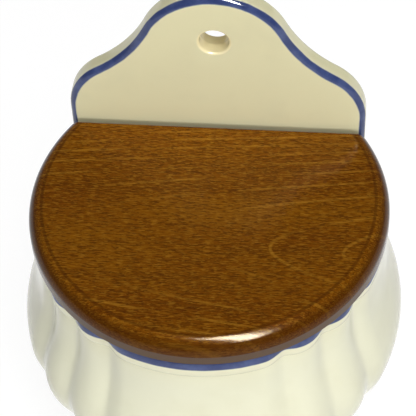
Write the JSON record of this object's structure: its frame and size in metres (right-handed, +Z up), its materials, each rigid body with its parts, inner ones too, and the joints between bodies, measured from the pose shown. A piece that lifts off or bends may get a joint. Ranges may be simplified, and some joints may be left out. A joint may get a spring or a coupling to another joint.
{
  "type": "wall-mounted salt box",
  "caption": "Glazed ceramic salt box for a wall: fluted bellied pot, camelback plate with a hanging hole, and a hinged wooden lid.",
  "frame": {"origin": "where the axis of the hanging hole meets the wall, at the plate's back face", "axes": "+Y into the wall along the hanging hole, +Z up the wall, the front of the box faces -Y"},
  "size_m": [0.1548, 0.1293, 0.1731],
  "materials": {
    "glaze": "glossy ivory glaze with blue painted lines",
    "stained_wood": "stained and lacquered",
    "pin_steel": "drawn steel"
  },
  "bodies": {
    "box": {"ceramic_box": "glaze"},
    "lid": {"lid": "stained_wood", "hinge_pin_left": "pin_steel", "hinge_pin_right": "pin_steel"}
  },
  "joints": [
    {"name": "lid_hinge", "type": "hinge", "parent": "box", "child": "lid", "pos_m": [0, -0.0185, -0.05], "axis": [-1, 0, 0], "range_deg": [0, 91.5]}
  ]
}
